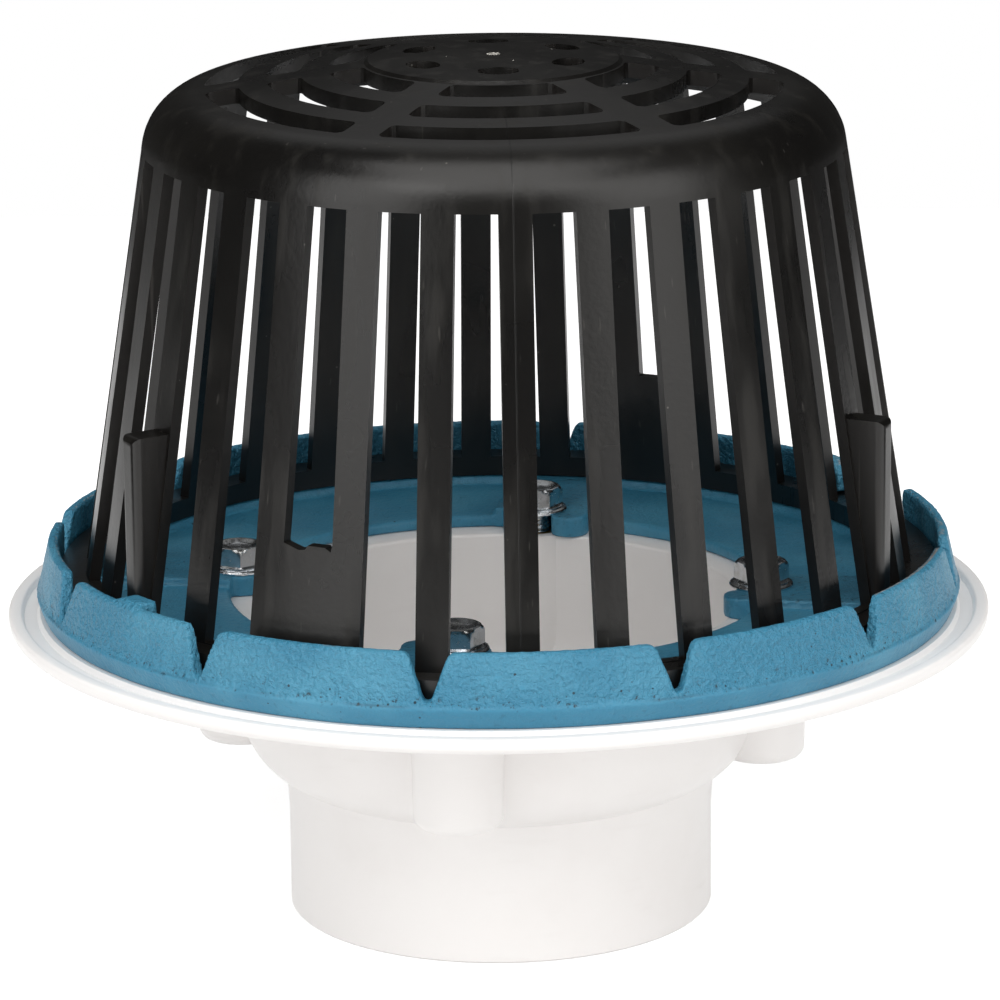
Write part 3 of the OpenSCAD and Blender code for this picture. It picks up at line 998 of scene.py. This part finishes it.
def crumbs_tree() -> GeometryTree:
    """Tree that scatters small flat crumbs over a surface, denser towards its middle.

    Returns:
        The tree, with inputs Density, Reach, Size, Seed and Finish.
    """
    tree = GeometryTree(
        "crumbs",
        {
            "Density": "Float",
            "Reach": "Float",
            "Size": "Float",
            "Seed": "Int",
            "Finish": "Material",
        },
    )
    given = tree.given.outputs
    flat = tree.node("ShaderNodeVectorMath", operation="MULTIPLY")
    tree.feed(flat.inputs[0], tree.node("GeometryNodeInputPosition").outputs[0])
    flat.inputs[1].default_value = (1.0, 1.0, 0.0)
    far = tree.node("ShaderNodeVectorMath", operation="LENGTH")
    tree.feed(far.inputs[0], flat.outputs[0])
    near = tree.maths(
        "SUBTRACT", 1.0, tree.maths("DIVIDE", far.outputs["Value"], given["Reach"]), clamp=True
    )
    scatter = tree.node("GeometryNodeDistributePointsOnFaces")
    tree.feed(scatter.inputs["Mesh"], given["Geometry"])
    density = tree.times(given["Density"], tree.maths("POWER", near, 2.0))
    tree.feed(scatter.inputs["Density"], density)
    tree.feed(scatter.inputs["Seed"], given["Seed"])
    crumb = tree.node("GeometryNodeMeshIcoSphere")
    crumb.inputs["Subdivisions"].default_value = 1
    tree.feed(crumb.inputs["Radius"], given["Size"])
    size = tree.node("FunctionNodeRandomValue", data_type="FLOAT_VECTOR")
    size.inputs[0].default_value = (0.35, 0.35, 0.2)
    size.inputs[1].default_value = (1.0, 1.3, 0.5)
    tree.feed(size.inputs["Seed"], given["Seed"])
    place = tree.node("GeometryNodeInstanceOnPoints")
    tree.feed(place.inputs["Points"], scatter.outputs["Points"])
    tree.feed(place.inputs["Instance"], crumb.outputs[0])
    tree.feed(place.inputs["Rotation"], scatter.outputs["Rotation"])
    tree.feed(place.inputs["Scale"], size.outputs[0])
    tree.close(place.outputs[0])
    return tree


# ---------- sub-assemblies ----------


@dataclass
class DrainBody:
    """The white moulded body with its bowl, bosses and outlet."""

    node: str = "drain_body"
    shading_angle: float = 28.0
    finish: WhiteVinyl = field(default_factory=WhiteVinyl)

    def build(self) -> None:
        """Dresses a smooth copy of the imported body."""
        shell = node_copy(self.node, "drain_body_shell")
        shade_by_angle(shell, self.shading_angle)
        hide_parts(self.node)
        dress(shell, Body.BASE, self.finish.material())
        report(shell)


@dataclass
class ClampRing:
    """The blue cast ring that clamps the roof's membrane."""

    node: str = "clamp_ring"
    voxel: float = 0.66 * MM
    keep: float = 0.45
    foot_height: float = 5.4 * MM
    rim_inner: float = 117.5 * MM

    def build(self) -> None:
        """Rebuilds the ring as a sand casting and paints it."""
        low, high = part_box(self.node)
        band_top = low.z + self.foot_height
        finish = PaintedCasting(band_top, high.z, self.rim_inner).material()
        ring = node_copy(self.node, "clamp_ring_casting")
        soften(ring, self.voxel, rounds=2, keep=self.keep)
        cast_skin_tree().run(
            ring,
            Lump_Size=2.2 * MM,
            Lump_Height=0.3 * MM,
            Wave_Size=26 * MM,
            Wave_Height=0.4 * MM,
            From=band_top,
            Finish=finish,
        )
        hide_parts(self.node)
        dress(ring, Body.BASE, finish)
        report(ring)


@dataclass
class DomeStrainer:
    """The black slotted dome with its crown grille and sprue mark."""

    node: str = "dome_strainer"
    shading_angle: float = 24.0
    knit_angle: float = 272.9
    sprue_r: float = 2.2 * MM
    sprue_rings: tuple = ((1.0, -0.5), (0.9, 0.0), (0.7, 0.12), (0.4, 0.06))
    sprue_sides: int = 28
    sprue_seed: int = 7
    crumbs_seed: int = 11
    upward: float = 0.9
    crown_r: float = 60 * MM

    def build(self) -> None:
        """Builds the moulding, the sprue mark and the crumbs round it."""
        finish = BlackStrainer(self.knit_angle).material()
        shell = node_copy(self.node, "dome_strainer_moulding")
        shade_by_angle(shell, self.shading_angle)
        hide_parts(self.node)
        dress(shell, Body.DOME, finish)
        report(shell)
        self._sprue(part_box(self.node)[1].z)
        self._crumbs(shell)

    def _sprue(self, top: float) -> None:
        """Builds the low torn mark where the sprue was cut from the crown.

        Args:
            top: Height of the crown's top.
        """
        rng = np.random.default_rng(self.sprue_seed)
        work = bmesh.new()
        loops = []
        for share, rise in self.sprue_rings:
            reach = self.sprue_r * share
            loop = []
            for turn in np.linspace(0, math.tau, self.sprue_sides, endpoint=False):
                across = reach * (1 + 0.1 * rng.uniform(-1, 1)) * math.cos(turn)
                along = reach * (1 + 0.1 * rng.uniform(-1, 1)) * math.sin(turn)
                height = top + (rise + 0.08 * rng.uniform(-1, 0)) * MM
                loop.append(work.verts.new((across, along, height)))
            loops.append(loop)
        for below, above in zip(loops, loops[1:]):
            for i in range(self.sprue_sides):
                j = (i + 1) % self.sprue_sides
                work.faces.new((below[i], below[j], above[j], above[i]))
        work.faces.new(loops[-1])
        work.faces.new(reversed(loops[0]))
        mesh = bpy.data.meshes.new("sprue_mark")
        work.to_mesh(mesh)
        work.free()
        mark = new_object("sprue_mark", mesh)
        dress(mark, Body.DOME, Residue().material())
        report(mark)

    def _crumbs(self, shell: bpy.types.Object) -> None:
        """Scatters the crumbs over the crown's upper face.

        Args:
            shell: The moulding.
        """
        work = bmesh.new()
        work.from_mesh(shell.data)
        under = [
            face
            for face in work.faces
            if face.normal.z < self.upward
            or face.calc_center_median().xy.length > self.crown_r
        ]
        bmesh.ops.delete(work, geom=under, context="FACES")
        mesh = bpy.data.meshes.new("crown_crumbs")
        work.to_mesh(mesh)
        work.free()
        crumbs = new_object("crown_crumbs", mesh)
        residue = bpy.data.materials["sprue_residue"]
        crumbs_tree().run(
            crumbs,
            Density=9000.0,
            Reach=30 * MM,
            Size=0.24 * MM,
            Seed=self.crumbs_seed,
            Finish=residue,
        )
        dress(crumbs, Body.DOME, residue)
        report(crumbs)


@dataclass
class FlangeBolt:
    """One flange bolt, modelled upright with its washer face at height 0."""

    washer_r: float = 8.6 * MM
    washer_t: float = 1.5 * MM
    flats: float = 12.7 * MM
    head_h: float = 7.0 * MM
    dish: float = 0.9 * MM
    shank_r: float = 3.95 * MM
    length: float = 31.7 * MM
    pitch: float = 1.41 * MM
    thread_depth: float = 0.7 * MM
    loops_per_turn: int = 6
    sides: int = 72

    def mesh(self) -> bpy.types.Mesh:
        """Builds head, dish and helical thread as one closed mesh.

        Returns:
            The mesh.
        """
        half_side = math.radians(30)
        corner = self.flats / 2 / math.cos(half_side)
        work = bmesh.new()

        def hexagon(turn: float, limit: float) -> float:
            """Gives the hexagon's radius at an angle, or the limit if that is less."""
            local = (turn + half_side) % (2 * half_side) - half_side
            return min(self.flats / 2 / math.cos(half_side - abs(local)), limit)

        # radius, height, whether the hexagon cuts it
        head = [
            (2.6 * MM, self.head_h - self.dish, False),
            (4.3 * MM, self.head_h - self.dish * 0.75, False),
            (5.1 * MM, self.head_h - 0.1 * MM, False),
            (5.7 * MM, self.head_h, False),
            (corner - 0.85 * MM, self.head_h - 0.25 * MM, True),
            (corner - 0.3 * MM, self.head_h - 0.75 * MM, True),
            (corner, self.head_h - 1.3 * MM, True),
            (corner, self.washer_t + 0.5 * MM, True),
            (corner + 0.25 * MM, self.washer_t + 0.1 * MM, False),
            (self.washer_r - 1.1 * MM, self.washer_t * 0.82, False),
            (self.washer_r - 0.25 * MM, self.washer_t * 0.6, False),
            (self.washer_r, self.washer_t * 0.36, False),
            (self.washer_r - 0.15 * MM, 0.05 * MM, False),
            (self.washer_r - 0.5 * MM, 0.0, False),
            (self.shank_r, 0.0, False),
        ]
        loops: list[list[bmesh.types.BMVert]] = []
        for radius, height, six in head:
            loop = []
            for turn in np.linspace(0, math.tau, self.sides, endpoint=False):
                reach = hexagon(turn, radius) if six else radius
                at = (reach * math.cos(turn), reach * math.sin(turn), height)
                loop.append(work.verts.new(at))
            loops.append(loop)
        self._thread(work, loops)
        for upper, lower in zip(loops, loops[1:]):
            for i in range(self.sides):
                j = (i + 1) % self.sides
                work.faces.new((upper[i], lower[i], lower[j], upper[j]))
        work.faces.new(loops[0])
        work.faces.new(reversed(loops[-1]))
        mesh = bpy.data.meshes.new("flange_bolt")
        work.to_mesh(mesh)
        work.free()
        return mesh

    def _thread(self, work: bmesh.types.BMesh, loops: list[list[bmesh.types.BMVert]]) -> None:
        """Adds the shank's loops, whose radius follows a helical groove.

        Args:
            work: The mesh under work.
            loops: The loops so far, which grow downwards.
        """
        steps = int(self.length / (self.pitch / self.loops_per_turn))
        for step in range(1, steps + 1):
            height = -self.length * step / steps
            fade = min(1.0, -height / (2 * self.pitch), (self.length + height) / self.pitch + 0.2)
            loop = []
            for turn in np.linspace(0, math.tau, self.sides, endpoint=False):
                phase = (height / self.pitch - turn / math.tau) % 1.0
                groove = abs(phase - 0.5) * 2
                reach = self.shank_r - self.thread_depth * fade * groove
                at = (reach * math.cos(turn), reach * math.sin(turn), height)
                loop.append(work.verts.new(at))
            loops.append(loop)


@dataclass
class Fasteners:
    """The four flange bolts on their circle and the brass inserts under them."""

    bolts: tuple = ("bolt_front", "bolt_right", "bolt_back", "bolt_left")
    inserts: tuple = ("insert_front", "insert_right", "insert_back", "insert_left")
    turns: tuple = (-61.0, -63.0, -60.0, -84.0)
    shading_angle: float = 32.0
    bolt: FlangeBolt = field(default_factory=FlangeBolt)

    def build(self) -> None:
        """Sets the bolts on their places and dresses the inserts."""
        zinc = BrightZinc().material()
        master = new_object("bolt_master", self.bolt.mesh())
        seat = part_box("bolt_front")[1].z - self.bolt.head_h
        points = bpy.data.meshes.new("flange_bolts")
        middles = [sum(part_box(node), Vector()) / 2 for node in self.bolts]
        points.from_pydata([(at.x, at.y, seat) for at in middles], [], [])
        turn = points.attributes.new("turn", "FLOAT", "POINT")
        turn.data.foreach_set("value", [math.radians(angle) for angle in self.turns])
        row = new_object("flange_bolts", points)
        bolt_circle_tree().run(row, Fastener=master, Finish=zinc)
        bpy.data.objects.remove(master)
        shade_by_angle(row, self.shading_angle)
        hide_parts(*self.bolts)
        dress(row, Body.BASE, zinc)
        report(row)
        brass = TurnedBrass().material()
        for node in self.inserts:
            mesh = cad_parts[node].data
            mesh.materials.clear()
            mesh.materials.append(brass)
            log.info("%s: brass", node)


# ---------- studio ----------


@dataclass(frozen=True)
class SoftBox:
    """A lamp with a square window, aimed at the part.

    Args:
        name: Its name.
        azimuth: Where it stands, in degrees from +X.
        elevation: Its height over the horizon, in degrees.
        distance: Its distance from the part's middle.
        width: The window's width.
        height: The window's height.
        radiance: The window's brightness.
    """

    name: str
    azimuth: float
    elevation: float
    distance: float
    width: float
    height: float
    radiance: float

    def place(self, aim: Vector) -> None:
        """Makes the lamp.

        Args:
            aim: The point that it lights.
        """
        lamp = bpy.data.lights.new(self.name, "AREA")
        lamp.shape = "RECTANGLE"
        lamp.size = self.width
        lamp.size_y = self.height
        lamp.energy = self.radiance * math.pi * self.width * self.height
        lamp.color = WARM_WHITE
        turn, rise = math.radians(self.azimuth), math.radians(self.elevation)
        way = Vector(
            (math.cos(rise) * math.cos(turn), math.cos(rise) * math.sin(turn), math.sin(rise))
        )
        made = bpy.data.objects.new(self.name, lamp)
        made.location = aim + way * self.distance
        made.rotation_euler = (-way).to_track_quat("-Z", "Y").to_euler()
        bpy.context.scene.collection.objects.link(made)


@dataclass
class Studio:
    """Camera, lamps, world and floor."""

    eye: tuple = (0.000656, -1.468561, 0.498633)
    aim: tuple = (0.000656, 0.0, 0.111181)
    roll: float = -0.55136
    lens: float = 204.2
    sensor: float = 36.0
    floor_half: float = 0.9
    world_level: float = 0.36
    room_gloss: float = 0.02
    skylight_gloss: float = 0.34
    skylight: tuple = (0.0, 0.7, 0.714)
    skylight_edge: tuple = (0.9, 0.98)
    lamps: tuple = (
        SoftBox("left_window", 227.0, 24.0, 2.0, 1.38, 1.8, 1.85),
        SoftBox("right_window", 318.0, 24.0, 2.1, 1.5, 1.8, 1.95),
        SoftBox("top_window", 266.0, 62.0, 2.2, 2.1, 2.4, 2.0),
    )

    def build(self) -> None:
        """Builds the whole studio."""
        self._camera()
        self._world()
        self._floor()
        for lamp in self.lamps:
            lamp.place(Vector(self.aim))
        log.info("studio: %d lamps", len(self.lamps))

    def _camera(self) -> None:
        """Makes the camera and sets it as the scene's."""
        eye, aim = Vector(self.eye), Vector(self.aim)
        back = (eye - aim).normalized()
        right = Vector((0.0, 0.0, 1.0)).cross(back).normalized()
        up = back.cross(right)
        roll = math.radians(self.roll)
        across = right * math.cos(roll) + up * math.sin(roll)
        upward = up * math.cos(roll) - right * math.sin(roll)
        lens = bpy.data.cameras.new("camera")
        lens.sensor_width = self.sensor
        lens.lens = self.lens
        lens.clip_end = 50.0
        camera = bpy.data.objects.new("camera", lens)
        turn = Matrix((across, upward, back)).transposed()
        camera.matrix_world = Matrix.Translation(eye) @ turn.to_4x4()
        bpy.context.scene.collection.objects.link(camera)
        bpy.context.scene.camera = camera

    def _world(self) -> None:
        """Makes the world: white to camera and glass, a dim room with a skylight to gloss."""
        world = bpy.data.worlds.new("studio")
        world.use_nodes = True
        bpy.context.scene.world = world
        graph = Graph(world.node_tree)
        sky = world.node_tree.nodes["Background"]
        sky.inputs["Color"].default_value = (1.0, 1.0, 1.0, 1.0)
        rays = graph.node("ShaderNodeLightPath")
        way = graph.node("ShaderNodeVectorMath", operation="DOT_PRODUCT")
        graph.feed(way.inputs[0], graph.node("ShaderNodeTexCoord").outputs["Generated"])
        way.inputs[1].default_value = self.skylight
        glow = graph.ramp(way.outputs["Value"], *self.skylight_edge)
        room = graph.between(glow, self.room_gloss, self.skylight_gloss)
        level = graph.between(rays.outputs["Is Glossy Ray"], self.world_level, room)
        seen = graph.maths(
            "MAXIMUM", rays.outputs["Is Camera Ray"], rays.outputs["Is Transmission Ray"]
        )
        graph.feed(sky.inputs["Strength"], graph.between(seen, level, 1.0))

    def _floor(self) -> None:
        """Lays the flat paper sheet under the part."""
        half = self.floor_half
        mesh = bpy.data.meshes.new("floor_sheet")
        mesh.from_pydata(
            [(-half, -half, 0), (half, -half, 0), (half, half, 0), (-half, half, 0)],
            [],
            [(0, 1, 2, 3)],
        )
        mesh.materials.append(StudioSheet().material())
        new_object("floor_sheet", mesh)


def main() -> None:
    """Builds the studio and every sub-assembly."""
    logging.basicConfig(level=logging.INFO, format="%(name)s: %(message)s")
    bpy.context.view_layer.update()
    bpy.context.scene.view_settings.view_transform = "Standard"
    Studio().build()
    for assembly in (DrainBody(), ClampRing(), DomeStrainer(), Fasteners()):
        assembly.build()


if __name__ == "__main__":
    main()
